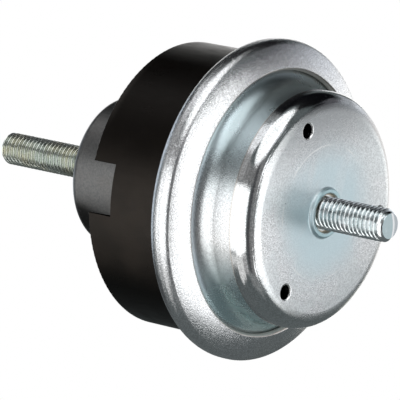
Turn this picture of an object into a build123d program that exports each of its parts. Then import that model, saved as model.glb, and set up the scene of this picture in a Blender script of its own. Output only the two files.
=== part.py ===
from build123d import *
import math
import os

# Hydraulic engine mount, a body of revolution about the X axis.
# The origin is on that axis, in the flat face of the base cup that seats on the bracket.
# +X runs out along the base stud, -X along the engine stud, and +Z is up. Millimetres.

# Overall places along the axis
cup_height = 22.9          # from the ring's datum circle to the face of the cup
body_length = 31.4         # from the ring's datum circle back to the rim of the rubber body
boss_reach = 24.9          # how far the boss stands out of that rim
base_stud_reach = 23.8     # threaded stud in front of the cup's face
engine_stud_reach = 45.0   # threaded stud beyond the end of the boss

# Studs, metric coarse thread of 10 mm, drawn at their full thread diameter
thread_radius = 5.0
stud_chamfer = 1.25
base_stud_head_radius = 10.5
base_stud_head_height = 3.5
base_stud_head_edge = 0.8
press_step = 0.3           # the pressed shanks are this much larger than the thread
engine_stud_grip = 25.0    # length of the shank pressed into the boss
bore_run_out = 2.0         # empty bore behind the engine stud's shank
bore_point_angle = 59.0    # half the angle of the drill point
bore_mouth_chamfer = 0.8

# Base cup, deep drawn, with a flange that is dished back towards the ring
cup_sheet = 1.8
cup_inset = 7.65           # from the side of the rubber body in to the wall of the cup
cup_face_bend = 5.4
cup_foot_bend = 6.0
cup_flange_gap = 1.1       # from the edge of the flange to the ring's inner wall
cup_edge = 0.3
dish_angle = 23.5          # slope of the flange and of the ring's front band
lip_radius = 7.4           # low lip drawn up round the stud
lip_height = 1.2
lip_width = 1.6
lip_root = 0.6
lip_crest = 0.5

# Vent holes in the cup's face
vent_count = 3
vent_radius = 2.25
vent_inset = 8.05          # from the wall of the cup in to the middle of each hole
vent_first_angle = 107.5   # from +Y towards +Z
vent_edge = 0.3

# Crimp ring, one rolled strip that grips the sleeve, the plate, the bellows and the cup
ring_sheet = 1.8
ring_overhang = 5.3        # how far the ring stands out beyond the rubber body
ring_mouth_gap = 1.1       # between the ring's front edge and the bend at the cup's foot
ring_rise = 5.3            # from the datum circle to the front edge
ring_wall = 6.9            # height of the wall, from the band's outer corner to the back face
ring_front_bend = 2.4
ring_back_bend = 4.0
ring_edge = 0.4
throat_gap = 0.3           # ring's back opening round the rubber skin

# Outer sleeve, the steel can inside the rubber
sleeve_sheet = 1.8
sleeve_flange_gap = 0.1    # the flange stops just before the ring's back bend
sleeve_root_bend = 1.4
sleeve_edge = 0.2
sleeve_cover = 12.7        # the rim of rubber reaches this far past the sleeve

# Rubber moulding: outer skin, rim, liner, spring and bump pad
body_radius = 43.1
skin = 1.6
rim_edge_width = 0.7
rim_taper_angle = 15.3     # the inside of the rim widens outwards
rim_rounding = 0.25
liner = 1.7
liner_root = 2.5           # thickness of the liner where the spring starts
liner_root_height = 1.9
liner_rounding = 1.5
pocket_floor_inset = 18.2  # from the rim down to the floor of the pocket
pocket_rounding = 4.0
collar_inset = 2.2         # from the rim down to the rubber's collar on the boss
collar_thickness = 1.0
collar_height = 3.0
collar_rounding = 3.0
collar_edge = 0.4
pad_thickness = 4.0
pad_overhang = 3.0         # how far the bump pad reaches round the foot of the core
pad_rounding = 4.0

# Notch in the rim
notch_width = 15.4
notch_depth = 8.4
notch_angle = 169.7        # middle of the notch, from +Y towards +Z

# Inner core
boss_radius = 22.9
boss_edge = 2.2
core_taper_inset = 4.0     # from the rim down to where the core starts to narrow
core_foot_radius = 13.0
core_shoulder_rounding = 3.0
core_foot_rounding = 3.0
core_foot_height = 11.9    # from the orifice plate up to the foot of the core

# Orifice plate, a flat steel disc clamped in the ring
plate_thickness = 1.2
plate_edge_gap = 0.35      # between its edge and the dished flange of the cup

# Bellows, a thin rubber diaphragm
bellows_thickness = 1.5
bellows_gap = 0.4          # between the bellows and the inside of the cup
bellows_head_gap = 3.6     # between the bellows and the head of the base stud
bead_edge_gap = 1.4        # from the edge of the plate in to the bead
bead_step = 0.5            # the bead ends this far outside the bend of the cup's foot
bead_lap = 2.0             # how far the bead reaches in over the track body's side
bead_edge = 0.2
fold_rounding = 4.5
foot_rounding = 0.8
dome_radius = 11.0
dome_rise = 2.5
dome_rounding = 3.5

# Track body, with the long channel that the fluid runs through
track_gap = 0.7            # between the track body and the bellows
track_height = 7.0
track_floor = 2.2
track_edge = 0.8
track_wall = 2.7           # between the channel and the outside
channel_width = 5.6
channel_sweep = 300.0
channel_start_angle = 30.0
port_inset = 0.5           # the ports are this much narrower than the channel, each side
port_sweep = 16.0
pocket_wall = 8.25         # between the channel and the decoupler's pocket

# Seal ring between the track body and the plate
seal_cord = 1.0

# Grid holes over and under the decoupler, as shares of the pocket's radius
grid_hole_share = 0.103
grid_row_shares = (0.0, 0.345, 0.676)
grid_row_counts = (1, 6, 12)

# Decoupler, a rubber disc gripped at its rim
decoupler_web = 2.6
decoupler_bead_width = 2.6
decoupler_side_gap = 0.2
decoupler_rounding = 0.6

# Rivets that hold the track body to the plate
rivet_count = 3
rivet_radius = 1.6
rivet_head_radius = 2.8
rivet_head_height = 1.2
rivet_head_rounding = 0.8
rivet_first_angle = 0.0

# Places worked out from the sizes above
ring_x = -cup_height
rim_x = ring_x - body_length
boss_end_x = rim_x - boss_reach
dish = math.radians(dish_angle)
dish_slope = math.tan(dish)
foot_turn = math.tan((math.pi / 2 - dish) / 2)
cup_radius = body_radius - cup_inset
vent_circle_radius = cup_radius - vent_inset
ring_radius = body_radius + ring_overhang
ring_inner_radius = ring_radius - ring_sheet
ring_mouth_radius = cup_radius + cup_foot_bend * foot_turn * math.cos(dish) + ring_mouth_gap
ring_corner_x = ring_x + ring_rise - (ring_radius - ring_mouth_radius) * dish_slope
ring_back_x = ring_corner_x - ring_wall
throat_radius = body_radius + throat_gap
sleeve_back_x = ring_back_x + ring_sheet
sleeve_outer_radius = body_radius - skin
sleeve_inner_radius = sleeve_outer_radius - sleeve_sheet
sleeve_end_x = rim_x + sleeve_cover
plate_back_x = sleeve_back_x + sleeve_sheet
plate_front_x = plate_back_x + plate_thickness
core_foot_x = plate_back_x - core_foot_height
press_radius = thread_radius + press_step
cup_inner_x = -cup_sheet
cup_inner_radius = cup_radius - cup_sheet
cup_inner_foot_bend = cup_foot_bend + cup_sheet
cup_flange_radius = ring_inner_radius - cup_flange_gap
stud_head_x = cup_inner_x - base_stud_head_height
bellows_wall_outer = cup_inner_radius - bellows_gap
bellows_wall_inner = bellows_wall_outer - bellows_thickness
track_radius = bellows_wall_inner - track_gap
track_front_x = plate_front_x + track_height
track_floor_x = track_front_x - track_floor
channel_radius = track_radius - track_wall - channel_width / 2
seal_radius = track_radius - track_wall / 2
pocket_radius = channel_radius - channel_width / 2 - pocket_wall
grid_hole_radius = pocket_radius * grid_hole_share
rivet_circle_radius = (pocket_radius + channel_radius - channel_width / 2) / 2


def ring_front_x(radius):
    """Front of the ring's sloping band at a radius."""
    return ring_x + ring_rise - (radius - ring_mouth_radius) * dish_slope


def flange_front_x(radius):
    """Front of the cup's flange, which lies against the back of the ring's band."""
    return ring_front_x(radius) - ring_sheet / math.cos(dish)


def flange_back_x(radius):
    """Back of the cup's flange."""
    return flange_front_x(radius) - cup_sheet / math.cos(dish)


def flange_back_radius(x):
    """Radius at which the back of the cup's flange reaches a place on the axis."""
    sheets = (ring_sheet + cup_sheet) / math.cos(dish)
    return ring_mouth_radius + (ring_x + ring_rise - sheets - x) / dish_slope


plate_radius = flange_back_radius(plate_front_x) - plate_edge_gap
bead_outer_radius = plate_radius - bead_edge_gap
bead_inner_radius = cup_inner_radius + cup_inner_foot_bend * foot_turn * math.cos(dish) + bead_step


def turned(*corners):
    """Turn a closed outline about the X axis. Each corner is x, radius and rounding."""
    points = [(x, radius) for x, radius, rounding in corners]
    roundings = [rounding for x, radius, rounding in corners]
    outline = FilletPolyline(*points, radius=roundings, close=True)
    return revolve(make_face(outline), Axis.X)


def disc(x, thickness, radius):
    """Plain disc about the X axis, from x towards +X."""
    return Plane(origin=(x, 0, 0), z_dir=(1, 0, 0)) * extrude(Circle(radius), thickness)


def around(radius, angle):
    """Y and Z of a place round the axis."""
    turn = math.radians(angle)
    return radius * math.cos(turn), radius * math.sin(turn)


def rod(x, length, place_radius, angle, radius):
    """Round rod parallel to the axis, from x towards +X."""
    y, z = around(place_radius, angle)
    return Plane(origin=(x, y, z), z_dir=(1, 0, 0)) * extrude(Circle(radius), length)


def arc_slot(x, thickness, radius, width, start, sweep):
    """Slot with round ends that follows a circle round the axis."""
    base = Plane(origin=(x, 0, 0), x_dir=(0, 1, 0), z_dir=(1, 0, 0))
    path = CenterArc((0, 0), radius, start, sweep)
    return base * extrude(SlotArc(path, width), thickness)


def keep(shape, name):
    """Write one piece under its own name."""
    shape.label = name
    export_step(shape, f"parts/{name}.step")


def make_engine_stud():
    """Stud with a thicker shank that is pressed into the boss."""
    tip = boss_end_x - engine_stud_reach
    root = boss_end_x + engine_stud_grip
    return turned(
        (tip, 0, 0),
        (tip, thread_radius - stud_chamfer, 0),
        (tip + stud_chamfer, thread_radius, 0),
        (boss_end_x, thread_radius, 0),
        (boss_end_x, press_radius, 0),
        (root - stud_chamfer, press_radius, 0),
        (root, press_radius - stud_chamfer, 0),
        (root, 0, 0),
    )


def make_core_blank():
    return turned(
        (boss_end_x, 0, 0),
        (boss_end_x, boss_radius, boss_edge),
        (rim_x + core_taper_inset, boss_radius, core_shoulder_rounding),
        (core_foot_x, core_foot_radius, core_foot_rounding),
        (core_foot_x, 0, 0),
    )


def make_inner_core():
    """Boss with a blind bore into which the engine stud is pressed."""
    bore_end = boss_end_x + engine_stud_grip + bore_run_out
    point = press_radius / math.tan(math.radians(bore_point_angle))
    bore = turned(
        (boss_end_x, 0, 0),
        (boss_end_x, press_radius + bore_mouth_chamfer, 0),
        (boss_end_x + bore_mouth_chamfer, press_radius, 0),
        (bore_end, press_radius, 0),
        (bore_end + point, 0, 0),
    )
    return make_core_blank() - bore


def make_outer_sleeve():
    """Steel can with its foot turned out into the flange that the ring grips."""
    flange_radius = ring_radius - ring_back_bend - sleeve_flange_gap
    return turned(
        (sleeve_end_x, sleeve_inner_radius, sleeve_edge),
        (sleeve_end_x, sleeve_outer_radius, sleeve_edge),
        (sleeve_back_x, sleeve_outer_radius, sleeve_root_bend),
        (sleeve_back_x, flange_radius, sleeve_edge),
        (plate_back_x, flange_radius, sleeve_edge),
        (plate_back_x, sleeve_inner_radius, sleeve_edge),
    )


def make_notch():
    """Block that cuts the notch, from inside the rim to outside it."""
    y, z = around(body_radius, notch_angle)
    block = Box(2 * notch_depth, notch_width, body_radius / 2)
    return Pos(rim_x, y, z) * Rot(notch_angle - 90, 0, 0) * block


def make_main_rubber():
    """One moulding, bonded to the sleeve and the core: skin, rim, spring and bump pad."""
    rim_inner = body_radius - rim_edge_width
    floor_x = rim_x + pocket_floor_inset
    collar_x = rim_x + collar_inset
    collar_radius = boss_radius + collar_thickness
    collar_end_x = collar_x - collar_height
    pad_x = core_foot_x + pad_thickness
    inside_sleeve = sleeve_outer_radius - sleeve_sheet / 2
    floor_radius = rim_inner - pocket_floor_inset * math.tan(math.radians(rim_taper_angle))
    blank = turned(
        (sleeve_back_x, body_radius, 0),
        (rim_x, body_radius, rim_rounding),
        (rim_x, rim_inner, rim_rounding),
        (floor_x, floor_radius, pocket_rounding),
        (collar_x, collar_radius, collar_rounding),
        (collar_end_x, collar_radius, collar_edge),
        (collar_end_x, 0, 0),
        (pad_x, 0, 0),
        (pad_x, core_foot_radius + pad_overhang, pad_rounding),
        (plate_back_x - liner_root_height, sleeve_inner_radius - liner_root, liner_rounding),
        (plate_back_x, sleeve_inner_radius - liner, 0),
        (plate_back_x, inside_sleeve, 0),
        (sleeve_back_x, inside_sleeve, 0),
    )
    return blank - make_core_blank() - make_outer_sleeve() - make_notch()


def make_crimp_ring():
    """Rolled ring: sloping front band, wall, and a back lip under the sleeve's flange."""
    front_x = ring_front_x(ring_mouth_radius)
    return turned(
        (front_x, ring_mouth_radius, ring_edge),
        (ring_corner_x, ring_radius, ring_front_bend),
        (ring_back_x, ring_radius, ring_back_bend),
        (ring_back_x, throat_radius, ring_edge),
        (sleeve_back_x, throat_radius, ring_edge),
        (sleeve_back_x, ring_inner_radius, ring_back_bend - ring_sheet),
        (flange_front_x(ring_inner_radius), ring_inner_radius, ring_front_bend - ring_sheet),
        (
            front_x - ring_sheet * math.cos(dish),
            ring_mouth_radius - ring_sheet * math.sin(dish),
            ring_edge,
        ),
    )


def make_base_cup():
    """Drawn cup with a sloping flange, a low lip round the stud and three vent holes."""
    lip_inner_radius = lip_radius - lip_width
    cup = turned(
        (flange_front_x(cup_flange_radius), cup_flange_radius, cup_edge),
        (flange_front_x(cup_radius), cup_radius, cup_foot_bend),
        (0, cup_radius, cup_face_bend),
        (0, lip_radius, lip_root),
        (lip_height, lip_radius, lip_crest),
        (lip_height, lip_inner_radius, lip_crest),
        (0, lip_inner_radius, 0),
        (0, press_radius, 0),
        (cup_inner_x, press_radius, 0),
        (cup_inner_x, cup_inner_radius, cup_face_bend - cup_sheet),
        (flange_back_x(cup_inner_radius), cup_inner_radius, cup_inner_foot_bend),
        (flange_back_x(cup_flange_radius), cup_flange_radius, cup_edge),
    )
    for index in range(vent_count):
        angle = vent_first_angle + index * 360 / vent_count
        y, z = around(vent_circle_radius, angle)
        hole = rod(cup_inner_x, cup_sheet, vent_circle_radius, angle, vent_radius)
        rim = Plane(origin=(0, y, z), z_dir=(-1, 0, 0)) * extrude(
            Circle(vent_radius + vent_edge), vent_edge, taper=45
        )
        cup = cup - hole - rim
    return cup


def make_base_stud():
    """Headed stud pushed out through the cup and pressed into its hole."""
    return turned(
        (stud_head_x, 0, 0),
        (stud_head_x, base_stud_head_radius, base_stud_head_edge),
        (cup_inner_x, base_stud_head_radius, 0),
        (cup_inner_x, press_radius, 0),
        (0, press_radius, 0),
        (0, thread_radius, 0),
        (base_stud_reach - stud_chamfer, thread_radius, 0),
        (base_stud_reach, thread_radius - stud_chamfer, 0),
        (base_stud_reach, 0, 0),
    )


def cut_grid(piece, x, thickness):
    """Rows of round holes through which the fluid reaches the decoupler."""
    for share, count in zip(grid_row_shares, grid_row_counts):
        for index in range(count):
            angle = index * 360 / count
            piece = piece - rod(x, thickness, pocket_radius * share, angle, grid_hole_radius)
    return piece


def rivet_angles():
    return [rivet_first_angle + index * 360 / rivet_count for index in range(rivet_count)]


def make_orifice_plate():
    """Flat plate that closes the fluid chamber, with a grid and the channel's inlet."""
    plate = disc(plate_back_x, plate_thickness, plate_radius)
    plate = cut_grid(plate, plate_back_x, plate_thickness)
    port = arc_slot(
        plate_back_x, plate_thickness, channel_radius,
        channel_width - 2 * port_inset, channel_start_angle, port_sweep,
    )
    plate = plate - port
    for angle in rivet_angles():
        plate = plate - rod(
            plate_back_x, plate_thickness, rivet_circle_radius, angle, rivet_radius
        )
    return plate


def make_seal_groove():
    return turned(
        (plate_front_x, seal_radius - seal_cord / 2, 0),
        (plate_front_x, seal_radius + seal_cord / 2, 0),
        (plate_front_x + seal_cord, seal_radius + seal_cord / 2, 0),
        (plate_front_x + seal_cord, seal_radius - seal_cord / 2, 0),
    )


def make_track_seal():
    ring = Plane.XY * Pos(plate_front_x + seal_cord / 2, seal_radius) * Circle(seal_cord / 2)
    return revolve(ring, Axis.X)


def make_track_body():
    """Die-cast disc with the long channel, the decoupler's pocket and a grid floor."""
    body = turned(
        (plate_front_x, 0, 0),
        (plate_front_x, track_radius, 0),
        (track_front_x, track_radius, track_edge),
        (track_front_x, 0, 0),
    )
    depth = track_height - track_floor
    body = body - disc(plate_front_x, depth, pocket_radius)
    body = body - arc_slot(
        plate_front_x, depth, channel_radius, channel_width,
        channel_start_angle, channel_sweep,
    )
    body = body - arc_slot(
        track_floor_x, track_floor, channel_radius, channel_width - 2 * port_inset,
        channel_start_angle + channel_sweep - port_sweep, port_sweep,
    )
    body = cut_grid(body, track_floor_x, track_floor)
    for angle in rivet_angles():
        body = body - rod(
            plate_front_x, track_height, rivet_circle_radius, angle, rivet_radius
        )
    return body - make_seal_groove()


def make_decoupler():
    """Rubber disc, thick at its rim where the plate and the track body grip it."""
    radius = pocket_radius - decoupler_side_gap
    bead_inner = radius - decoupler_bead_width
    middle_x = (plate_front_x + track_floor_x) / 2
    half_web = decoupler_web / 2
    return turned(
        (middle_x - half_web, 0, 0),
        (middle_x - half_web, bead_inner, decoupler_rounding),
        (plate_front_x, bead_inner, decoupler_rounding),
        (plate_front_x, radius, decoupler_rounding),
        (track_floor_x, radius, decoupler_rounding),
        (track_floor_x, bead_inner, decoupler_rounding),
        (middle_x + half_web, bead_inner, decoupler_rounding),
        (middle_x + half_web, 0, 0),
    )


def make_rivet():
    """Rivet on the axis, with a low round head against each outer face."""
    head_start = plate_back_x - rivet_head_height
    head_end = track_front_x + rivet_head_height
    return turned(
        (head_start, 0, 0),
        (head_start, rivet_head_radius, rivet_head_rounding),
        (plate_back_x, rivet_head_radius, 0),
        (plate_back_x, rivet_radius, 0),
        (track_front_x, rivet_radius, 0),
        (track_front_x, rivet_head_radius, 0),
        (head_end, rivet_head_radius, rivet_head_rounding),
        (head_end, 0, 0),
    )


def make_track_rivets():
    rivet = make_rivet()
    places = [around(rivet_circle_radius, angle) for angle in rivet_angles()]
    return Compound(children=[Pos(0, y, z) * rivet for y, z in places])


def make_bellows():
    """Thin rolling diaphragm whose wedge-shaped bead is clamped under the cup's flange."""
    bottom_x = stud_head_x - bellows_head_gap
    inner_bottom_x = bottom_x - bellows_thickness
    dome_x = bottom_x - dome_rise
    inner_dome_x = dome_x - bellows_thickness
    slope_gap = bellows_gap / math.cos(dish)
    inner_gap = (bellows_gap + bellows_thickness) / math.cos(dish)
    return turned(
        (plate_front_x, bead_outer_radius, bead_edge),
        (flange_back_x(bead_outer_radius), bead_outer_radius, bead_edge),
        (flange_back_x(bead_inner_radius), bead_inner_radius, 0),
        (flange_back_x(bead_inner_radius) - slope_gap, bead_inner_radius, 0),
        (
            flange_back_x(bellows_wall_outer) - slope_gap,
            bellows_wall_outer,
            cup_inner_foot_bend + bellows_gap,
        ),
        (bottom_x, bellows_wall_outer, fold_rounding),
        (bottom_x, dome_radius + dome_rise, dome_rounding),
        (dome_x, dome_radius, dome_rounding),
        (dome_x, 0, 0),
        (inner_dome_x, 0, 0),
        (inner_dome_x, dome_radius, dome_rounding),
        (inner_bottom_x, dome_radius + dome_rise, dome_rounding),
        (inner_bottom_x, bellows_wall_inner, fold_rounding - bellows_thickness),
        (flange_back_x(bellows_wall_inner) - inner_gap, bellows_wall_inner, foot_rounding),
        (plate_front_x, bellows_wall_inner + bead_lap, bead_edge),
    )


def main():
    os.makedirs("parts", exist_ok=True)
    keep(make_engine_stud(), "engine_stud")
    keep(make_inner_core(), "inner_core")
    keep(make_main_rubber(), "main_rubber")
    keep(make_outer_sleeve(), "outer_sleeve")
    keep(make_crimp_ring(), "crimp_ring")
    keep(make_orifice_plate(), "orifice_plate")
    keep(make_track_body(), "track_body")
    keep(make_track_seal(), "track_seal")
    keep(make_decoupler(), "decoupler_disc")
    keep(make_track_rivets(), "track_rivets")
    keep(make_bellows(), "bellows")
    keep(make_base_cup(), "base_cup")
    keep(make_base_stud(), "base_stud")


main()
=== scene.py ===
import math

import bmesh
import bpy
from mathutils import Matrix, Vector


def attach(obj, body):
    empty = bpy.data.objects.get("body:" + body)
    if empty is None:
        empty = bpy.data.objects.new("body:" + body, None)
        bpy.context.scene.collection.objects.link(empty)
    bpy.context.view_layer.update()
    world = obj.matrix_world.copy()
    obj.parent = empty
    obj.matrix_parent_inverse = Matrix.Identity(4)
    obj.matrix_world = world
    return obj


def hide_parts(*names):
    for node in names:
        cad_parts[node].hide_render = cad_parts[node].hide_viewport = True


# Looks of a hydraulic engine mount. Metres, in the frame of the CAD model: the mount's axis
# is X, the base stud points along +X, the engine stud along -X, and Z is up.

MM = 0.001

# Camera, placed by fitting the outlines of the photograph
CAMERA_PLACE = Vector((0.64621, -0.84906, 0.28618))
CAMERA_FORWARD = Vector((-0.61149, 0.74872, -0.25593))
CAMERA_LENS = 338.88
CAMERA_SENSOR = 36.0
CAMERA_CLIP = (0.05, 20.0)

# Thread of both studs, in millimetres: metric coarse, 10 mm
PITCH = 1.5
THREAD_RADIUS = 5.0
THREAD_DEPTH = 0.92
THREAD_SEGMENTS = 72
# Where round the axis the thread starts, as a share of a turn
THREAD_START = 0.5
# Turns by which the thread is too long at each end, before it is cut to length
THREAD_OVERRUN = 2
# Half of the profile: share of the pitch from the crest, share of the depth
THREAD_PROFILE = (
    (0.00, 0.00),
    (0.06, 0.03),
    (0.11, 0.13),
    (0.20, 0.42),
    (0.30, 0.76),
    (0.38, 0.95),
    (0.50, 1.00),
)
STUD_CHAMFER = 1.25
SHANK_RADIUS = 5.3
SHANK_EDGE = 1.25
CAP_RIM = 0.5
# Edges of a stud that bend by more than this stay sharp, in degrees
SHARP_ANGLE = 38
# Tolerances of a stud's mesh, in millimetres
CUT_TOLERANCE = 1e-5
WELD_TOLERANCE = 1e-4
END_TOLERANCE = 1e-3

# Base stud, in millimetres along X
CUP_FACE_X = 0.0
CUP_SHEET = 1.8
BASE_STUD_TIP_X = 23.8
BASE_HEAD_RADIUS = 10.5
BASE_HEAD_HEIGHT = 3.5
BASE_HEAD_EDGE = 0.8
# Middle of a rounded edge, off both its faces, as a share of the edge's radius
EDGE_MIDDLE = 0.3

# Engine stud, in millimetres along X
BOSS_END_X = -79.2
ENGINE_STUD_TIP_X = -124.2
ENGINE_SHANK_LENGTH = 25.0

# Places on the pressed steel, in millimetres
RING_MOUTH_RADIUS = 40.16
RING_TAN_WIDTH = 0.5
CROWN_MIDDLE = 43.4
CROWN_RADIUS = 21.0
WITNESS_RADIUS = 20.2
WITNESS_WIDTH = 0.4
LIP_RADIUS = 7.5
SEAM_RADIUS = 39.0
GROOVE_X = -7.4
DOME_START = 13.0
DOME_SPAN = 20.0
DOME_RADIUS = 200.0
VENT_CIRCLE = 27.4
VENT_RADIUS = 2.25
VENT_RIM = 0.55
VENT_TURNS = (107.5, 227.5, 347.5)
VENTS = [
    (VENT_CIRCLE * math.cos(math.radians(turn)), VENT_CIRCLE * math.sin(math.radians(turn)))
    for turn in VENT_TURNS
]

# Farther than the nearest of the vents can be, in millimetres
FAR_AWAY = 1000.0

# Notch in the rim of the rubber, in millimetres, and its middle from +Y towards +Z
NOTCH_TURN = 169.7
NOTCH_WIDTH = 15.4
NOTCH_END_X = -46.0


def direction(azimuth, elevation):
    """Unit vector at an azimuth from +Y towards +X and an elevation, both in degrees."""
    turn = math.radians(azimuth)
    rise = math.radians(elevation)
    return Vector(
        (math.sin(turn) * math.cos(rise), math.cos(turn) * math.cos(rise), math.sin(rise))
    )


class Finish:
    """A procedural material. Its textures are placed by millimetres in the row frame."""

    def __init__(self, name):
        self.material = bpy.data.materials.new(name)
        self.material.use_nodes = True
        self.tree = self.material.node_tree
        self.shader = self.tree.nodes["Principled BSDF"]
        coordinates = self.tree.nodes.new("ShaderNodeTexCoord")
        scale = self.tree.nodes.new("ShaderNodeVectorMath")
        scale.operation = "SCALE"
        scale.inputs["Scale"].default_value = 1 / MM
        self.link(coordinates.outputs["Object"], scale.inputs[0])
        self.place = scale.outputs[0]

    def link(self, source, target):
        """Join an output to an input."""
        self.tree.links.new(source, target)

    def feed(self, value, target):
        """Link a socket, or set a plain value."""
        if isinstance(value, bpy.types.NodeSocket):
            self.link(value, target)
        else:
            target.default_value = value

    def set(self, **values):
        """Set shader inputs; underscores stand for spaces."""
        for name, value in values.items():
            self.feed(value, self.shader.inputs[name.replace("_", " ")])

    def math(self, operation, first, second=0.0):
        """Work out one sum on sockets or plain numbers."""
        node = self.tree.nodes.new("ShaderNodeMath")
        node.operation = operation
        self.feed(first, node.inputs[0])
        self.feed(second, node.inputs[1])
        return node.outputs[0]

    def times(self, first, *others):
        """Product of sockets and plain numbers."""
        for other in others:
            first = self.math("MULTIPLY", first, other)
        return first

    def plus(self, first, *others):
        """Sum of sockets and plain numbers."""
        for other in others:
            first = self.math("ADD", first, other)
        return first

    def off(self, value, place):
        """How far a value lies from a place."""
        return self.math("ABSOLUTE", self.math("SUBTRACT", value, place))

    def noise(
        self, per_mm, detail=2.0, roughness=0.5, distortion=0.0, stretch=(1, 1, 1), shift=0.0
    ):
        """Noise of about per_mm bumps to the millimetre."""
        mapping = self.tree.nodes.new("ShaderNodeMapping")
        mapping.inputs["Scale"].default_value = stretch
        mapping.inputs["Location"].default_value = (shift, shift * 0.7, shift * 0.4)
        self.link(self.place, mapping.inputs["Vector"])
        node = self.tree.nodes.new("ShaderNodeTexNoise")
        node.inputs["Scale"].default_value = per_mm
        node.inputs["Detail"].default_value = detail
        node.inputs["Roughness"].default_value = roughness
        node.inputs["Distortion"].default_value = distortion
        self.link(mapping.outputs[0], node.inputs["Vector"])
        return node.outputs["Fac"]

    def cells(self, per_mm):
        """Random value from 0 to 1 for each small cell, for crystals and specks."""
        node = self.tree.nodes.new("ShaderNodeTexVoronoi")
        node.inputs["Scale"].default_value = per_mm
        self.link(self.place, node.inputs["Vector"])
        parts = self.tree.nodes.new("ShaderNodeSeparateColor")
        self.link(node.outputs["Color"], parts.inputs[0])
        return parts.outputs[0]

    def span(self, value, low, high, to_low=0.0, to_high=1.0):
        """Map low..high to to_low..to_high, smoothly and with both ends held."""
        node = self.tree.nodes.new("ShaderNodeMapRange")
        node.interpolation_type = "SMOOTHSTEP"
        self.feed(value, node.inputs["Value"])
        node.inputs["From Min"].default_value = low
        node.inputs["From Max"].default_value = high
        node.inputs["To Min"].default_value = to_low
        node.inputs["To Max"].default_value = to_high
        return node.outputs[0]

    def fall(self, value, low, high):
        """1 up to low, 0 from high on, and smooth between them."""
        return self.span(value, low, high, 1.0, 0.0)

    def blend(self, share, first, second, mode="MIX"):
        """Mix two colours, sockets or plain ones, by a share of the second."""
        node = self.tree.nodes.new("ShaderNodeMix")
        node.data_type = "RGBA"
        node.blend_type = mode
        self.feed(share, node.inputs["Factor"])
        for value, socket in ((first, node.inputs[6]), (second, node.inputs[7])):
            if isinstance(value, bpy.types.NodeSocket):
                self.link(value, socket)
            else:
                socket.default_value = (*value, 1.0)
        return node.outputs[2]

    def tint(self, colour, tone, *shares):
        """Lay a tone over a colour, as strongly as the product of the shares says."""
        return self.blend(self.times(*shares), colour, tone)

    def along(self, axis):
        """Place along an axis named X, Y or Z, in millimetres."""
        parts = self.tree.nodes.new("ShaderNodeSeparateXYZ")
        self.link(self.place, parts.inputs[0])
        return parts.outputs[axis]

    def radius(self):
        """Distance from the mount's axis, in millimetres."""
        y, z = self.along("Y"), self.along("Z")
        return self.math("SQRT", self.plus(self.times(y, y), self.times(z, z)))

    def near(self, places):
        """Distance from the nearest of some lines along X, given as (y, z) in millimetres."""
        y, z = self.along("Y"), self.along("Z")
        nearest = FAR_AWAY
        for line_y, line_z in places:
            across = self.math("POWER", self.math("SUBTRACT", y, line_y), 2.0)
            upwards = self.math("POWER", self.math("SUBTRACT", z, line_z), 2.0)
            distance = self.math("SQRT", self.math("ADD", across, upwards))
            nearest = self.math("MINIMUM", distance, nearest)
        return nearest

    def sag(self, distance, radius):
        """Height of a round surface at a distance from its top, which has height 0."""
        return self.math("DIVIDE", self.times(distance, distance), -2 * radius)

    def bump(self, height, depth_mm, before=None):
        """Relief from a 0 to 1 height, depth_mm deep, on top of an earlier relief."""
        node = self.tree.nodes.new("ShaderNodeBump")
        node.inputs["Strength"].default_value = 1.0
        node.inputs["Distance"].default_value = depth_mm * MM
        self.feed(height, node.inputs["Height"])
        if before is not None:
            self.link(before, node.inputs["Normal"])
        return node.outputs[0]


# Clear zinc plating: tone of its warm clouds, crystals to the millimetre, their lights and darks
ZINC_WARM = (0.73, 0.71, 0.67)
CRYSTALS_PER_MM = 3.3
CRYSTAL_TONES = (0.82, 1.17)


def zinc_sheet(name, pale, cool):
    """Clear zinc plating on pressed steel: fine crystals, cool and warm clouds."""
    f = Finish(name)
    clouds = f.noise(0.055, detail=3.0, distortion=0.6)
    warm = f.noise(0.035, shift=31.0)
    grain = f.noise(3.4, detail=1.0, roughness=0.6)
    crystals = f.span(f.cells(CRYSTALS_PER_MM), 0.0, 1.0, *CRYSTAL_TONES)
    colour = f.blend(f.span(clouds, 0.38, 0.66), pale, cool)
    colour = f.blend(f.span(warm, 0.55, 0.75, 0.0, 0.35), colour, ZINC_WARM)
    colour = f.blend(1.0, colour, crystals, mode="MULTIPLY")
    return f, colour, grain, clouds


# Stretches over which the cup's finish changes, in millimetres: along X
CUP_X = {
    "ring_shade": (-18.5, -17.6),
    "groove": (GROOVE_X - 0.4, GROOVE_X + 0.4),
    "far_edge_starts": (-2.6, -1.4),
    "far_edge_ends": (-0.4, -0.1),
    "face": (-0.9, -0.2),
}
# Along Y, away from the photograph's camera
CUP_FAR_SIDE = (14.0, 26.0)
# Along Z; the painted shade by the ring and the lip are measured up and down from the axis
CUP_Z = {
    "groove_top_shade": (4.0, 24.0),
    "groove_foot_light": (-24.0, -4.0),
    "ring_shade": (16.0, 26.0),
    "face_top_shade": (12.0, 31.0),
    "lip": (1.5, 5.5),
}
# Outwards from the axis
CUP_RADII = {
    "inner_lip_highlight": (5.6, 6.3),
    "lip": (LIP_RADIUS - 0.3, LIP_RADIUS),
    "haze": (9.0, 20.0),
    "face_middle": (12.0, 25.0),
    "gap_shade": (SEAM_RADIUS - 0.6, SEAM_RADIUS + 0.2),
}
# Outwards from the middle of a vent, and off the edge of the step to the groove
CUP_VENT_RIM = (VENT_RADIUS + 0.1, VENT_RADIUS + VENT_RIM)
CUP_STEP = (0.0, 0.45)

# Tones of the cup. Painted shade: the face's top, the groove's upper half, beside the ring, the gap
# at the ring and the far edge. Painted light: the groove's lower half, the lip's top and bottom,
# its inner edge and the vent rims.
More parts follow.
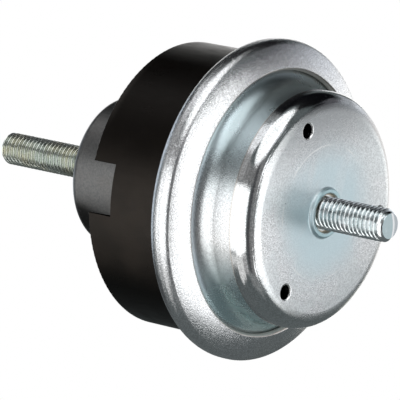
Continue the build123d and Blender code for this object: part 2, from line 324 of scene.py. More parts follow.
CUP_TONES = {
    "pale": (0.72, 0.73, 0.74),
    "cool": (0.69, 0.72, 0.73),
    "face_middle": (0.56, 0.69, 0.735),
    "face_top_shade": (0.30, 0.315, 0.32),
    "groove_top_shade": (0.42, 0.505, 0.53),
    "groove_foot_light": (0.66, 0.86, 0.90),
    "ring_shade": (0.22, 0.26, 0.29),
    "step": (0.44, 0.38, 0.32),
    "witness": (0.93, 0.93, 0.91),
    "lip": (0.42, 0.585, 0.62),
    "inner_lip_highlight": (0.66, 0.55, 0.42),
    "vent_rim_highlight": (0.95, 0.95, 0.94),
    "gap_shade": (0.16, 0.18, 0.18),
    "far_edge_shade": (0.36, 0.33, 0.33),
}

# Roughness of the cup: its drawn wall, its face and groove, and what scuffs and haze add
WALL_ROUGH = 0.11
SATIN_ROUGH = 0.27
SCUFF_ROUGH = 0.04
HAZE_ROUGH = 0.16
# How satin the wall's far side is, from 0 to 1
FAR_SATIN = 0.7
# Relief of the cup, in millimetres
CUP_GRAIN = 0.040
WITNESS_RISE = 0.02
VENT_SINK = 0.10


def cup_groove_colour(f, colour, groove):
    """Blue and paler below as painted light, greyer and darker above as painted shade, painted
    shade in the groove by the ring, and tan on the step's edge.
    """
    x, z = f.along("X"), f.along("Z")
    # Painted shade on the groove's upper half, painted light on its lower half
    above = f.span(z, *CUP_Z["groove_top_shade"], 0.0, 0.95)
    below = f.span(z, *CUP_Z["groove_foot_light"], 0.95, 0.0)
    # Painted shade in the groove beside the ring
    ring_shade = f.span(x, *CUP_X["ring_shade"], 0.8, 0.0)
    beside = f.fall(f.off(z, 0.0), *CUP_Z["ring_shade"])
    step = f.span(f.off(x, GROOVE_X), *CUP_STEP, 0.5, 0.0)
    colour = f.tint(colour, CUP_TONES["groove_top_shade"], groove, above)
    colour = f.tint(colour, CUP_TONES["groove_foot_light"], groove, below)
    colour = f.tint(colour, CUP_TONES["ring_shade"], ring_shade, groove, beside)
    return f.tint(colour, CUP_TONES["step"], step)


def cup_lip_colour(f, colour, radius):
    """Bluish painted reflection on the top and bottom of the lip round the stud, and its tan inner
    edge, painted as a warm highlight.
    """
    lip = f.fall(radius, *CUP_RADII["lip"])
    # Painted reflection: bluish, strongest on the lip's top and bottom
    sides = f.span(f.off(f.along("Z"), 0.0), *CUP_Z["lip"], 0.1, 0.8)
    # Painted highlight: the tan inner edge of the lip
    inner_lip_highlight = f.fall(radius, *CUP_RADII["inner_lip_highlight"])
    colour = f.tint(colour, CUP_TONES["lip"], lip, sides)
    return f.tint(colour, CUP_TONES["inner_lip_highlight"], inner_lip_highlight, 0.8)


def cup_finish():
    """The cup: satin face, glossy where the die drew the wall, bluish and dull in the groove. Its
    colour also carries painted shade on the face's top, in the groove's upper half, by and under
    the ring and on the far edge, and painted light in the groove's lower half, on the lip and on
    the vent rims.
    """
    f, colour, grain, clouds = zinc_sheet("zinc_cup", CUP_TONES["pale"], CUP_TONES["cool"])
    x, y, z = (f.along(axis) for axis in "XYZ")
    radius = f.radius()
    face = f.span(x, *CUP_X["face"])
    groove = f.fall(x, *CUP_X["groove"])
    far_satin = f.span(y, *CUP_FAR_SIDE, 0.0, FAR_SATIN)
    satin = f.math("MAXIMUM", f.math("MAXIMUM", face, groove), far_satin)

    middle = f.fall(radius, *CUP_RADII["face_middle"])
    patches = f.span(clouds, 0.25, 0.6, 0.45, 1.0)
    # Painted shade: the face is darkened towards its top
    top = f.span(z, *CUP_Z["face_top_shade"])
    worn = f.span(f.noise(0.12, shift=7.0), 0.42, 0.6)
    witness = f.times(f.fall(f.off(radius, WITNESS_RADIUS), 0.0, WITNESS_WIDTH), face, worn)
    # Vent rims: deburred edges, sunk in the relief and painted brighter as a highlight
    vent_rim_highlight = f.times(f.fall(f.near(VENTS), *CUP_VENT_RIM), face)
    # Painted shade in the gap between the cup and the ring
    gap_shade = f.span(radius, *CUP_RADII["gap_shade"])
    # Painted shade along the face's edge on the far side
    far_edge_shade = f.times(
        f.span(x, *CUP_X["far_edge_ends"], 0.7, 0.0),
        f.span(y, *CUP_FAR_SIDE),
        f.span(x, *CUP_X["far_edge_starts"]),
    )

    colour = f.tint(colour, CUP_TONES["face_middle"], middle, face, patches, 0.85)
    colour = cup_groove_colour(f, colour, groove)
    colour = f.tint(colour, CUP_TONES["face_top_shade"], top, face, 0.85)
    colour = f.tint(colour, CUP_TONES["witness"], witness, 0.5)
    colour = cup_lip_colour(f, colour, radius)
    colour = f.tint(colour, CUP_TONES["vent_rim_highlight"], vent_rim_highlight, 0.8)
    colour = f.tint(colour, CUP_TONES["gap_shade"], gap_shade, 0.8)
    colour = f.tint(colour, CUP_TONES["far_edge_shade"], far_edge_shade)

    streaks = f.noise(0.9, stretch=(1.0, 0.12, 1.6), shift=3.0)
    rough = f.plus(
        f.span(satin, 0.0, 1.0, WALL_ROUGH, SATIN_ROUGH),
        f.times(f.span(streaks, 0.60, 0.68), SCUFF_ROUGH),
        f.span(clouds, 0.3, 0.7, -0.02, 0.03),
        f.span(radius, *CUP_RADII["haze"], HAZE_ROUGH, 0.0),
    )

    domed = f.math("MAXIMUM", f.math("SUBTRACT", radius, DOME_START), 0.0)
    relief = f.bump(f.sag(f.math("MINIMUM", domed, DOME_SPAN), DOME_RADIUS), 1.0)
    relief = f.bump(f.times(grain, f.span(satin, 0.0, 1.0, 0.35, 1.0)), CUP_GRAIN, relief)
    relief = f.bump(witness, WITNESS_RISE, relief)
    relief = f.bump(vent_rim_highlight, -VENT_SINK, relief)
    f.set(Base_Color=colour, Roughness=rough, Metallic=1.0, Normal=relief)
    return f.material


RING_TONES = {
    "pale": (0.73, 0.735, 0.75),
    "cool": (0.71, 0.72, 0.73),
    "mouth": (0.42, 0.35, 0.30),
}
RING_MOUTH = (RING_MOUTH_RADIUS, RING_MOUTH_RADIUS + RING_TAN_WIDTH)
RING_ROUGH = (0.20, 0.24)
RING_GRAIN = 0.050


def ring_finish():
    """The ring: slightly crowned, with a sparkling satin skin and a tan line at its mouth."""
    f, colour, grain, clouds = zinc_sheet("zinc_ring", RING_TONES["pale"], RING_TONES["cool"])
    radius = f.radius()
    mouth = f.fall(radius, *RING_MOUTH)
    colour = f.tint(colour, RING_TONES["mouth"], mouth, 0.85)
    drawn = f.noise(1.3, detail=3.0, stretch=(1.6, 0.5, 0.5), shift=11.0)
    rough = f.plus(
        f.span(clouds, 0.3, 0.7, *RING_ROUGH),
        f.span(drawn, 0.5, 0.75, 0.0, 0.05),
        f.times(mouth, 0.15),
    )
    off_crest = f.math("SUBTRACT", radius, CROWN_MIDDLE)
    relief = f.bump(f.sag(off_crest, CROWN_RADIUS), 1.0)
    relief = f.bump(grain, RING_GRAIN, relief)
    f.set(Base_Color=colour, Roughness=rough, Metallic=1.0, Normal=relief)
    return f.material


# Painted highlight along a crease line on the end of the base stud, with painted shade on
# both sides, in millimetres: where the line crosses Y, how much it bends with Z, and the
# stretches of its own width and of the tones beside it
CREASE_Y = 1.7
CREASE_BEND = 0.06
CREASE_WIDTH = (0.1, 0.5)
CREASE_LEFT = (-0.5, 0.0)
CREASE_RIGHT = (0.3, 0.8)
# How far before the tip the crease and its tones start, and are at their full strength
CREASE_START = 0.12
CREASE_FULL = 0.04
CREASE_HIGHLIGHT_TONE = (0.98, 0.98, 0.98)
CREASE_LEFT_SHADE_TONE = (0.46, 0.58, 0.60)
CREASE_RIGHT_SHADE_TONE = (0.56, 0.59, 0.61)


def end_with_painted_light(f, colour, end_x):
    """Painted shade in two tones on a stud's end, and a painted highlight along a bent crease line
    between them.
    """
    x, y, z = (f.along(axis) for axis in "XYZ")
    on_end = f.span(x, end_x - CREASE_START, end_x - CREASE_FULL)
    bend = f.times(z, z, CREASE_BEND)
    off_crease = f.math("SUBTRACT", f.plus(y, bend), CREASE_Y)
    left = f.fall(off_crease, *CREASE_LEFT)
    right = f.span(off_crease, *CREASE_RIGHT)
    crease = f.fall(f.off(off_crease, 0.0), *CREASE_WIDTH)
    colour = f.tint(colour, CREASE_LEFT_SHADE_TONE, left, on_end, 0.8)
    colour = f.tint(colour, CREASE_RIGHT_SHADE_TONE, right, on_end)
    return f.tint(colour, CREASE_HIGHLIGHT_TONE, crease, on_end)


# Bright crest of the thread, and the stretch over which the grooves' tone fades at both ends
CREST_HEIGHT = 0.25
GROOVE_FADE = 0.2
# Relief of a stud, in millimetres
STUD_GRAIN = 0.030
STUD_UNEVEN = 0.25
# Two tones of each stud, the tone of its grooves, and its roughness
BASE_STUD_TONES = ((0.86, 0.88, 0.89), (0.80, 0.86, 0.87))
BASE_STUD_GROOVE = (0.26, 0.30, 0.31)
BASE_STUD_ROUGH = 0.13
ENGINE_STUD_TONES = ((0.62, 0.665, 0.62), (0.66, 0.655, 0.55))
ENGINE_STUD_GROOVE = (0.22, 0.24, 0.21)
ENGINE_STUD_ROUGH = 0.22


def stud_finish(name, thread, tones, groove_tone, rough, painted_end_x=None):
    """Zinc-plated rolled thread: bright crests and darker grooves between two places on X."""
    f = Finish(name)
    x = f.along("X")
    start, end = thread
    groove = f.times(
        f.fall(f.radius(), THREAD_RADIUS - THREAD_DEPTH, THREAD_RADIUS - CREST_HEIGHT),
        f.span(x, start, start + GROOVE_FADE),
        f.fall(x, end - GROOVE_FADE, end),
    )
    clouds = f.noise(0.16, shift=5.0)
    grain = f.noise(3.0, detail=1.0)
    uneven = f.noise(0.35, detail=1.0, shift=13.0)
    colour = f.blend(f.span(clouds, 0.35, 0.65), *tones)
    colour = f.tint(colour, groove_tone, groove, 0.6)
    # The end of the base stud gets painted shade and a painted highlight
    if painted_end_x is not None:
        colour = end_with_painted_light(f, colour, painted_end_x)
    rough = f.plus(f.times(groove, 0.08), f.span(grain, 0.3, 0.7, rough - 0.02, rough + 0.04))
    relief = f.bump(grain, STUD_GRAIN, f.bump(uneven, STUD_UNEVEN))
    f.set(Base_Color=colour, Roughness=rough, Metallic=1.0, Normal=relief)
    return f.material


RUBBER_TONES = {
    "black": (0.0080, 0.0062, 0.0048),
    "brown": (0.0140, 0.0105, 0.0080),
    "bloom": (0.036, 0.029, 0.024),
    "upper_shade": (0.0016, 0.0012, 0.0010),
    "lower_shade": (0.0012, 0.0010, 0.0008),
    "notch": (0.0005, 0.0005, 0.0005),
}
# Heights over which the rubber's painted shade and its shine change, in millimetres
RUBBER_UPPER = (0.0, 26.0)
RUBBER_LOWER = (-24.0, -11.0)
RUBBER_MIDDLE = (8.0, 26.0)
RUBBER_CREST = (41.0, 43.0)
# Place on X and heights of the upper rim
RIM_X = (-54.0, -51.5)
RIM_HEIGHT = (22.0, 30.0)
# What the crest and the upper rim add to the rubber's specular level
CREST_SHINE = 1.20
RIM_SHINE = 0.20
# Plain specular level of the rubber, for tools that drop its pattern
RUBBER_SHINE = 0.20
RUBBER_SHINE_TINT = (1.0, 0.88, 0.78, 1.0)
# Relief of the rubber, in millimetres
PORE_DEPTH = 0.040
FLOW_DEPTH = 0.030


def rubber_finish():
    """Moulded black rubber with a satin skin, faint flow marks and pale bloom in the pores; its top
    and bottom carry painted shade.
    """
    f = Finish("moulded_rubber")
    x, z = f.along("X"), f.along("Z")
    walls = notch_walls(f)
    clouds = f.noise(0.07, detail=3.0, distortion=0.8)
    pores = f.noise(2.6, roughness=0.6)
    flow = f.noise(0.5, stretch=(0.35, 1.0, 1.0), shift=17.0)
    colour = f.blend(f.span(clouds, 0.35, 0.65), RUBBER_TONES["black"], RUBBER_TONES["brown"])
    colour = f.tint(colour, RUBBER_TONES["bloom"], f.span(pores, 0.60, 0.78, 0.0, 0.22))
    # Painted shade: the colour is darkened on the top and at the bottom
    colour = f.tint(colour, RUBBER_TONES["upper_shade"], f.span(z, *RUBBER_UPPER, 0.0, 0.9))
    colour = f.tint(colour, RUBBER_TONES["lower_shade"], f.span(z, *RUBBER_LOWER, 0.95, 0.0))
    # Painted shade: the notch walls are coloured near black
    colour = f.tint(colour, RUBBER_TONES["notch"], f.span(walls, 0.0, 0.5))
    rough = f.plus(f.span(clouds, 0.3, 0.7, 0.27, 0.33), f.span(flow, 0.4, 0.7, 0.0, 0.06))
    lower_shade = f.span(z, *RUBBER_LOWER, 0.3, 1.0)
    middle = f.span(z, *RUBBER_MIDDLE, 0.22, 0.10)
    crest = f.span(z, *RUBBER_CREST, 0.0, CREST_SHINE)
    rim = f.times(f.fall(x, *RIM_X), f.span(z, *RIM_HEIGHT), RIM_SHINE)
    shine = f.plus(f.times(lower_shade, middle), crest, rim)
    relief = f.bump(flow, FLOW_DEPTH, f.bump(pores, PORE_DEPTH))
    f.set(Base_Color=colour, Roughness=rough, Normal=relief)
    f.set(Specular_IOR_Level=RUBBER_SHINE, Specular_Tint=RUBBER_SHINE_TINT)
    f.set(Specular_IOR_Level=f.times(shine, f.fall(walls, 0.0, 0.5)))
    return f.material


# How far from a wall of the notch its painted shade reaches, in millimetres: full, and gone
NOTCH_SHADE = (0.03, 0.12)
# The notch lies where Y is below this, in millimetres
NOTCH_Y = (-20.0, -19.0)


def notch_walls(f):
    """1 on the three walls of the notch in the rim, 0 elsewhere."""
    x, y, z = (f.along(axis) for axis in "XYZ")
    turn = math.radians(NOTCH_TURN)
    half = NOTCH_WIDTH / 2
    across = f.math("SUBTRACT", f.times(z, math.cos(turn)), f.times(y, math.sin(turn)))
    side = f.off(across, 0.0)
    on_side = f.fall(f.off(side, half), *NOTCH_SHADE)
    on_side = f.times(on_side, f.fall(x, NOTCH_END_X, NOTCH_END_X + 0.1))
    on_end = f.fall(f.off(x, NOTCH_END_X), *NOTCH_SHADE)
    on_end = f.times(on_end, f.fall(side, half, half + 0.1))
    return f.times(f.math("MAXIMUM", on_side, on_end), f.fall(y, *NOTCH_Y))


BOSS_TONES = {
    "dark": (0.130, 0.130, 0.130),
    "pale": (0.172, 0.170, 0.167),
    "warm": (0.140, 0.131, 0.122),
    "lower_shade": (0.018, 0.017, 0.016),
    "edge": (0.30, 0.30, 0.30),
    "speck": (0.24, 0.24, 0.24),
}
# Painted shade on the lower part of the boss, in millimetres: the heights of its border at one
# place on X, and how much the border falls for each millimetre towards the ring
BOSS_LOWER = (-7.5, -3.2)
BOSS_LOWER_X = -76.0
BOSS_LOWER_SLOPE = 0.25
# Painted highlight along the edge at the boss's end: place on X, and heights
BOSS_HIGHLIGHT_X = (-77.6, -76.8)
BOSS_HIGHLIGHT_HEIGHT = (2.0, 8.0)
BOSS_GRAIN = 0.045


def boss_finish():
    """Dark grey coating on a die-cast boss: a finely mottled satin, with painted shade on its lower
    part and a painted highlight along the edge of its end.
    """
    f = Finish("coated_boss")
    x, z = f.along("X"), f.along("Z")
    mottle = f.noise(1.6, detail=4.0, roughness=0.7)
    specks = f.cells(3.0)
    clouds = f.noise(0.09, shift=9.0)
    # Border of the painted shade on the lower part, sloping down towards the ring
    sloping = f.plus(z, f.times(f.math("SUBTRACT", x, BOSS_LOWER_X), BOSS_LOWER_SLOPE))
    # Painted highlight along the edge of the boss's end
    edge = f.times(f.span(x, *BOSS_HIGHLIGHT_X, 0.6, 0.0), f.fall(z, *BOSS_HIGHLIGHT_HEIGHT))
    colour = f.blend(f.span(mottle, 0.36, 0.64), BOSS_TONES["dark"], BOSS_TONES["pale"])
    colour = f.tint(colour, BOSS_TONES["warm"], f.span(clouds, 0.45, 0.7, 0.0, 0.4))
    colour = f.tint(colour, BOSS_TONES["lower_shade"], f.span(sloping, *BOSS_LOWER, 0.9, 0.0))
    colour = f.tint(colour, BOSS_TONES["edge"], edge)
    colour = f.tint(colour, BOSS_TONES["speck"], f.span(specks, 0.95, 1.0, 0.0, 0.25))
    rough = f.span(mottle, 0.3, 0.7, 0.28, 0.36)
    f.set(Base_Color=colour, Roughness=rough, Metallic=0.95, Normal=f.bump(mottle, BOSS_GRAIN))
    return f.material


# Tones of the hidden pieces, and the relief of their skins in millimetres
STEEL_TONES = ((0.42, 0.42, 0.42), (0.50, 0.49, 0.46))
STEEL_GRAIN = 0.010
CAST_TONES = ((0.52, 0.53, 0.54), (0.64, 0.65, 0.66))
CAST_SKIN = 0.030
SOFT_TONES = ((0.024, 0.024, 0.025), (0.036, 0.036, 0.037))
SOFT_SKIN = 0.020


def steel_finish():
    """Oiled bare steel of the hidden pieces."""
    f = Finish("oiled_steel")
    clouds = f.noise(0.12, detail=3.0)
    grain = f.noise(3.0, stretch=(1.0, 0.4, 1.0))
    colour = f.blend(f.span(clouds, 0.35, 0.65), *STEEL_TONES)
    rough = f.span(grain, 0.3, 0.7, 0.26, 0.38)
    f.set(Base_Color=colour, Roughness=rough, Metallic=1.0, Normal=f.bump(grain, STEEL_GRAIN))
    return f.material


def cast_finish():
    """Die-cast aluminium of the track body."""
    f = Finish("cast_aluminium")
    skin = f.noise(1.4, detail=3.0, roughness=0.6)
    colour = f.blend(f.span(skin, 0.3, 0.7), *CAST_TONES)
    rough = f.span(skin, 0.3, 0.7, 0.40, 0.55)
    f.set(Base_Color=colour, Roughness=rough, Metallic=1.0, Normal=f.bump(skin, CAST_SKIN))
    return f.material


def inner_rubber_finish():
    """Softer rubber of the bellows, the decoupler and the seal."""
    f = Finish("soft_rubber")
    skin = f.noise(1.8, detail=3.0)
    colour = f.blend(f.span(skin, 0.35, 0.7), *SOFT_TONES)
    rough = f.span(skin, 0.3, 0.7, 0.50, 0.60)
    f.set(Base_Color=colour, Roughness=rough, Normal=f.bump(skin, SOFT_SKIN))
    return f.material


def thread_rows(length):
    """Places along the thread and depths under its crest, for turns that overrun both ends."""
    turn = list(THREAD_PROFILE[:-1])
    turn += [(1 - share, depth) for share, depth in THREAD_PROFILE[:0:-1]]
    rows = []
    for index in range(-THREAD_OVERRUN, math.ceil(length / PITCH) + THREAD_OVERRUN):
        rows += [((index + share) * PITCH, depth * THREAD_DEPTH) for share, depth in turn]
    return rows, len(turn)


def add_thread(mesh, length):
    """Helical thread about X from 0 to length, in millimetres, open at both ends."""
    rows, per_turn = thread_rows(length)
    grid = []
    for start, depth in rows:
        ring = []
        for segment in range(THREAD_SEGMENTS):
            share = segment / THREAD_SEGMENTS
            along = start + share * PITCH
            chamfer = THREAD_RADIUS - STUD_CHAMFER + max(length - along, 0.0)
            radius = min(THREAD_RADIUS - depth, chamfer)
            turn = (share + THREAD_START) * 2 * math.pi
            ring.append(mesh.verts.new((along, radius * math.cos(turn), radius * math.sin(turn))))
        grid.append(ring)
    for row in range(len(grid) - 1):
        for segment in range(THREAD_SEGMENTS - 1):
            low, high = grid[row], grid[row + 1]
            mesh.faces.new((low[segment], low[segment + 1], high[segment + 1], high[segment]))
    last = THREAD_SEGMENTS - 1
    for row in range(len(grid) - 1 - per_turn):
        low, high = grid[row], grid[row + 1]
        low_next, high_next = grid[row + per_turn], grid[row + per_turn + 1]
        mesh.faces.new((low[last], low_next[0], high_next[0], high[last]))
    for place, outwards in ((0.0, -1.0), (length, 1.0)):
        bmesh.ops.bisect_plane(
            mesh,
            geom=mesh.verts[:] + mesh.edges[:] + mesh.faces[:],
            dist=CUT_TOLERANCE,
            plane_co=(place, 0, 0),
            plane_no=(outwards, 0, 0),
            clear_outer=True,
        )
    bmesh.ops.remove_doubles(mesh, verts=mesh.verts[:], dist=WELD_TOLERANCE)


def open_loop(mesh, place):
    """Edges of the open end of the thread that lies at a place on X."""
    return [
        edge
        for edge in mesh.edges
        if edge.is_boundary and all(abs(vert.co.x - place) < END_TOLERANCE for vert in edge.verts)
    ]


def add_turned(mesh, outline):
    """Rings about X through (x, radius) points, joined one to the next. Gives the first's edges."""
    rings = []
    for x, radius in outline:
        ring = []
        for segment in range(THREAD_SEGMENTS):
            turn = segment / THREAD_SEGMENTS * 2 * math.pi
            ring.append(mesh.verts.new((x, radius * math.cos(turn), radius * math.sin(turn))))
        rings.append(ring)
    first = [
        mesh.edges.new((rings[0][segment], rings[0][(segment + 1) % THREAD_SEGMENTS]))
        for segment in range(THREAD_SEGMENTS)
    ]
    for low, high in zip(rings, rings[1:]):
        for segment in range(THREAD_SEGMENTS):
            after = (segment + 1) % THREAD_SEGMENTS
            mesh.faces.new((low[segment], low[after], high[after], high[segment]))
    mesh.faces.new(rings[-1])
    return first


def make_stud(name, root_x, tip_x, back, finish, node):
    """Threaded stud from root_x to tip_x; back lists (distance behind the root, radius)."""
    length = abs(tip_x - root_x)
    cap_radius = THREAD_RADIUS - STUD_CHAMFER - CAP_RIM
    mesh = bmesh.new()
    add_thread(mesh, length)
    root, tip = open_loop(mesh, 0.0), open_loop(mesh, length)
    rim = add_turned(mesh, [(length, cap_radius), (length, cap_radius - CAP_RIM)])
    bmesh.ops.bridge_loops(mesh, edges=tip + rim)
    shank = add_turned(mesh, [(-distance, radius) for distance, radius in back])
    bmesh.ops.bridge_loops(mesh, edges=root + shank)
    bmesh.ops.recalc_face_normals(mesh, faces=mesh.faces[:])
    # The engine stud is turned by half a turn about Y, so its thread keeps its hand
    side = 1.0 if tip_x > root_x else -1.0
    for vert in mesh.verts:
        x, y, z = vert.co
        vert.co = Vector((root_x + side * x, y, side * z)) * MM
    data = bpy.data.meshes.new(name)
    mesh.to_mesh(data)
    mesh.free()
    data.shade_smooth()
    data.set_sharp_from_angle(angle=math.radians(SHARP_ANGLE))
    data.materials.append(finish)
    stud = bpy.data.objects.new(name, data)
    bpy.context.scene.collection.objects.link(stud)
    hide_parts(node)
    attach(stud, "root")


def make_base_stud():
    """Stud with a shank in the cup's sheet and a head with a rounded edge behind it."""
    head_back = CUP_SHEET + BASE_HEAD_HEIGHT
    middle = EDGE_MIDDLE * BASE_HEAD_EDGE
    back = [
        (0.0, SHANK_RADIUS),
        (CUP_SHEET, SHANK_RADIUS),
        (CUP_SHEET, BASE_HEAD_RADIUS),
        (head_back - BASE_HEAD_EDGE, BASE_HEAD_RADIUS),
        (head_back - middle, BASE_HEAD_RADIUS - middle),
        (head_back, BASE_HEAD_RADIUS - BASE_HEAD_EDGE),
    ]
    finish = stud_finish(
        "zinc_base_stud",
        thread=(CUP_FACE_X, BASE_STUD_TIP_X - STUD_CHAMFER),
        tones=BASE_STUD_TONES,
        groove_tone=BASE_STUD_GROOVE,
        rough=BASE_STUD_ROUGH,
        painted_end_x=BASE_STUD_TIP_X,
    )
    make_stud("base_stud_thread", CUP_FACE_X, BASE_STUD_TIP_X, back, finish, "base_stud")


def make_engine_stud():
    """Stud with a long shank in the boss."""
    back = [
        (0.0, SHANK_RADIUS),
        (ENGINE_SHANK_LENGTH - SHANK_EDGE, SHANK_RADIUS),
        (ENGINE_SHANK_LENGTH, SHANK_RADIUS - SHANK_EDGE),
    ]
    finish = stud_finish(
        "zinc_engine_stud",
        thread=(ENGINE_STUD_TIP_X + STUD_CHAMFER, BOSS_END_X),
        tones=ENGINE_STUD_TONES,
        groove_tone=ENGINE_STUD_GROOVE,
        rough=ENGINE_STUD_ROUGH,
    )
    make_stud("engine_stud_thread", BOSS_END_X, ENGINE_STUD_TIP_X, back, finish, "engine_stud")


def dress_nodes():
    """Give every CAD node its finish."""
    steel, cast, soft = steel_finish(), cast_finish(), inner_rubber_finish()
    finishes = {
        "base_cup": cup_finish(),
        "crimp_ring": ring_finish(),
        "main_rubber": rubber_finish(),
        "inner_core": boss_finish(),
        "outer_sleeve": steel,
        "orifice_plate": steel,
        "track_rivets": steel,
        "base_stud": steel,
        "engine_stud": steel,
        "track_body": cast,
        "track_seal": soft,
        "decoupler_disc": soft,
        "bellows": soft,
    }
    for name, finish in finishes.items():
        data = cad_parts[name].data
        data.materials.clear()
        data.materials.append(finish)


def glow(name, colour):
    """Plain material of the studio that gives off its colour and takes no light."""
    material = bpy.data.materials.new(name)
    material.use_nodes = True
    nodes = material.node_tree.nodes
    nodes.clear()
    emission = nodes.new("ShaderNodeEmission")
    emission.inputs["Color"].default_value = (*colour, 1.0)
    output = nodes.new("ShaderNodeOutputMaterial")
    material.node_tree.links.new(emission.outputs[0], output.inputs["Surface"])
    return material


# Studio wall, seen by the object and not by the camera: its colour, its radius and its welds in
# metres, and its grid in degrees
WALL = (0.115, 0.130, 0.132)
WALL_RADIUS = 1.6
WALL_STEP = 5
WALL_WELD = 1e-4
# Cards on the wall, a later one over an earlier one: name, azimuths from and to, elevations from
# and to, colour they give off
CARDS = (
    ("backdrop_left", -70, -40, -20, 15, (1.10, 1.10, 1.08)),
    ("backdrop_lit", -40, -5, -25, 0, (1.40, 1.40, 1.38)),
    ("backdrop_middle", -5, 25, -20, 0, (1.40, 1.40, 1.38)),
    ("backdrop_foot", -25, -5, -30, -25, (0.60, 0.60, 0.56)),
    ("backdrop_right", 25, 55, -25, -5, (0.76, 0.78, 0.80)),
    ("backdrop_edge", 25, 55, -5, 5, (0.68, 0.69, 0.72)),
    ("backdrop_rise", -15, 25, 0, 10, (0.84, 0.87, 0.92)),
    ("backdrop_top", -15, 25, 10, 20, (0.40, 0.42, 0.45)),
    ("backdrop_rise_right", 25, 55, 5, 20, (0.29, 0.29, 0.30)),
    ("backdrop_back", -45, -25, 0, 10, (1.20, 1.20, 1.20)),
    ("wall_left", -110, -70, -20, 25, (0.66, 0.74, 0.82)),
    ("wall_camera_right", 105, 125, -45, 45, (0.22, 0.22, 0.22)),
    ("wall_camera", 125, 140, -45, 45, (0.08, 0.08, 0.085)),
    ("belt", 140, 180, 25, 45, (0.20, 0.20, 0.20)),
    ("belt_left", -180, -140, 25, 45, (0.24, 0.24, 0.24)),
    ("belt_far_left", -140, -110, 25, 45, (0.36, 0.36, 0.36)),
    ("low_front", 150, 180, -50, -30, (0.45, 0.45, 0.45)),
    ("low_left", -180, -130, -55, -30, (0.80, 0.80, 0.79)),
    ("low_right", 90, 150, -60, -45, (0.24, 0.25, 0.25)),
    ("overhead_left", -130, -85, 45, 75, (1.05, 1.05, 1.07)),
    ("overhead_right", 75, 115, 40, 60, (0.90, 0.90, 0.93)),
    ("overhead_front", 115, 150, 50, 60, (1.00, 1.00, 1.03)),
    ("flag_behind", -70, 40, 25, 65, (0.003, 0.003, 0.004)),
    ("flag_corner", 10, 55, 20, 30, (0.10, 0.10, 0.11)),
    ("flag_edge", -80, -65, 50, 75, (0.32, 0.33, 0.33)),
    ("flag_side", -110, -70, 25, 45, (0.025, 0.026, 0.028)),
    ("flag_low", -110, -80, -45, -25, (0.050, 0.052, 0.055)),
)
# Name, shape, azimuth, elevation, width, height, brightness
SOFTBOXES = (
    ("key_right", "RECTANGLE", 80, -8, 0.92, 1.40, 1.65),
    ("key_left", "RECTANGLE", 187, -3, 1.60, 1.15, 1.50),
    ("overhead", "DISK", 132, 74, 1.20, 1.20, 1.35),
)
# From the origin, in metres
SOFTBOX_DISTANCE = 1.0


def make_walls():
    """Round studio wall with its cards, one mesh."""
    data = bpy.data.meshes.new("studio_wall")
    data.materials.append(glow("studio_wall", WALL))
    for card in CARDS:
        data.materials.append(glow("studio_" + card[0], card[-1]))
    mesh = bmesh.new()
    for elevation in range(-90, 90, WALL_STEP):
        for azimuth in range(-180, 180, WALL_STEP):
            index = 0
            for number, (_, left, right, low, high, _) in enumerate(CARDS, start=1):
                if left <= azimuth < right and low <= elevation < high:
                    index = number
            corners = [
                direction(azimuth, elevation),
                direction(azimuth + WALL_STEP, elevation),
                direction(azimuth + WALL_STEP, elevation + WALL_STEP),
                direction(azimuth, elevation + WALL_STEP),
            ]
            face = mesh.faces.new([mesh.verts.new(corner * WALL_RADIUS) for corner in corners])
            face.material_index = index
    bmesh.ops.remove_doubles(mesh, verts=mesh.verts[:], dist=WALL_WELD)
    mesh.to_mesh(data)
    mesh.free()
    wall = bpy.data.objects.new("studio_wall", data)
    bpy.context.scene.collection.objects.link(wall)
    wall.visible_camera = False
    wall.visible_shadow = False


def make_softboxes():
    """Area lights that face the origin."""
    for name, shape, azimuth, elevation, width, height, brightness in SOFTBOXES:
        light = bpy.data.lights.new(name, "AREA")
        light.shape = shape
        light.size = width
        if shape == "RECTANGLE":
            light.size_y = height
            area = width * height
        else:
            area = math.pi / 4 * width * height
        light.energy = brightness * math.pi * area
        box = bpy.data.objects.new(name, light)
        towards = direction(azimuth, elevation)
        box.location = towards * SOFTBOX_DISTANCE
        box.rotation_mode = "QUATERNION"
        box.rotation_quaternion = towards.to_track_quat("Z", "Y")
        box.visible_camera = False
        bpy.context.scene.collection.objects.link(box)


# Floor, in metres, and the shares of its radius over which it fades
FLOOR_Z = -0.30
FLOOR_RADIUS = 0.70
FLOOR_FADE = (0.45, 0.98)
FLOOR_SEGMENTS = 96
FLOOR_COLOUR = (0.90, 0.90, 0.90)
FLOOR_ROUGH = 0.8


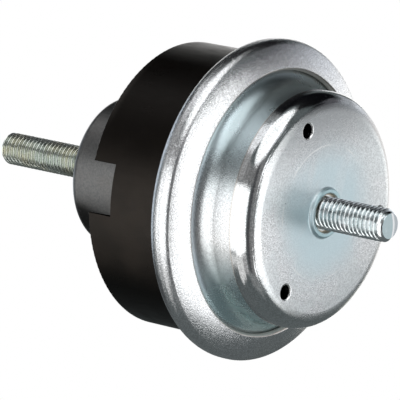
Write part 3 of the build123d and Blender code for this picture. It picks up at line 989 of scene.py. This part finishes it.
def make_floor():
    """Pale round table under the mount, whose edge fades into the white background."""
    material = bpy.data.materials.new("pale_floor")
    material.use_nodes = True
    tree = material.node_tree
    shader = tree.nodes["Principled BSDF"]
    shader.inputs["Base Color"].default_value = (*FLOOR_COLOUR, 1.0)
    shader.inputs["Roughness"].default_value = FLOOR_ROUGH
    coordinates = tree.nodes.new("ShaderNodeTexCoord")
    length = tree.nodes.new("ShaderNodeVectorMath")
    length.operation = "LENGTH"
    fade = tree.nodes.new("ShaderNodeMapRange")
    fade.interpolation_type = "SMOOTHSTEP"
    fade.inputs["From Min"].default_value = FLOOR_FADE[0] * FLOOR_RADIUS
    fade.inputs["From Max"].default_value = FLOOR_FADE[1] * FLOOR_RADIUS
    fade.inputs["To Min"].default_value = 1.0
    fade.inputs["To Max"].default_value = 0.0
    tree.links.new(coordinates.outputs["Object"], length.inputs[0])
    tree.links.new(length.outputs["Value"], fade.inputs["Value"])
    tree.links.new(fade.outputs[0], shader.inputs["Alpha"])
    mesh = bmesh.new()
    bmesh.ops.create_circle(mesh, cap_ends=True, radius=FLOOR_RADIUS, segments=FLOOR_SEGMENTS)
    data = bpy.data.meshes.new("floor")
    mesh.to_mesh(data)
    mesh.free()
    data.materials.append(material)
    floor = bpy.data.objects.new("floor", data)
    floor.location = (0, 0, FLOOR_Z)
    floor.visible_glossy = False
    bpy.context.scene.collection.objects.link(floor)


def make_world():
    """White background, and colours shown as they are."""
    world = bpy.data.worlds.new("white_studio")
    world.use_nodes = True
    background = world.node_tree.nodes["Background"]
    background.inputs["Color"].default_value = (1.0, 1.0, 1.0, 1.0)
    background.inputs["Strength"].default_value = 1.0
    bpy.context.scene.world = world
    bpy.context.scene.view_settings.view_transform = "Standard"


def make_camera():
    """Camera of the photograph."""
    data = bpy.data.cameras.new("photo_camera")
    data.sensor_width = CAMERA_SENSOR
    data.lens = CAMERA_LENS
    data.clip_start, data.clip_end = CAMERA_CLIP
    camera = bpy.data.objects.new("photo_camera", data)
    camera.location = CAMERA_PLACE
    camera.rotation_mode = "QUATERNION"
    camera.rotation_quaternion = CAMERA_FORWARD.to_track_quat("-Z", "Y")
    bpy.context.scene.collection.objects.link(camera)
    bpy.context.scene.camera = camera


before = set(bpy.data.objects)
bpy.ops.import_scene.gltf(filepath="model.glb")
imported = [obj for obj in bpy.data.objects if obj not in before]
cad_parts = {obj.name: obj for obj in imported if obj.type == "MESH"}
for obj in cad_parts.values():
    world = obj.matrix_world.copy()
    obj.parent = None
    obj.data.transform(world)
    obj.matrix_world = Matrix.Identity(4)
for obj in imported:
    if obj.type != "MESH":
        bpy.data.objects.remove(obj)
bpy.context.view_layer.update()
dress_nodes()
make_base_stud()
make_engine_stud()
make_walls()
make_softboxes()
make_floor()
make_world()
make_camera()
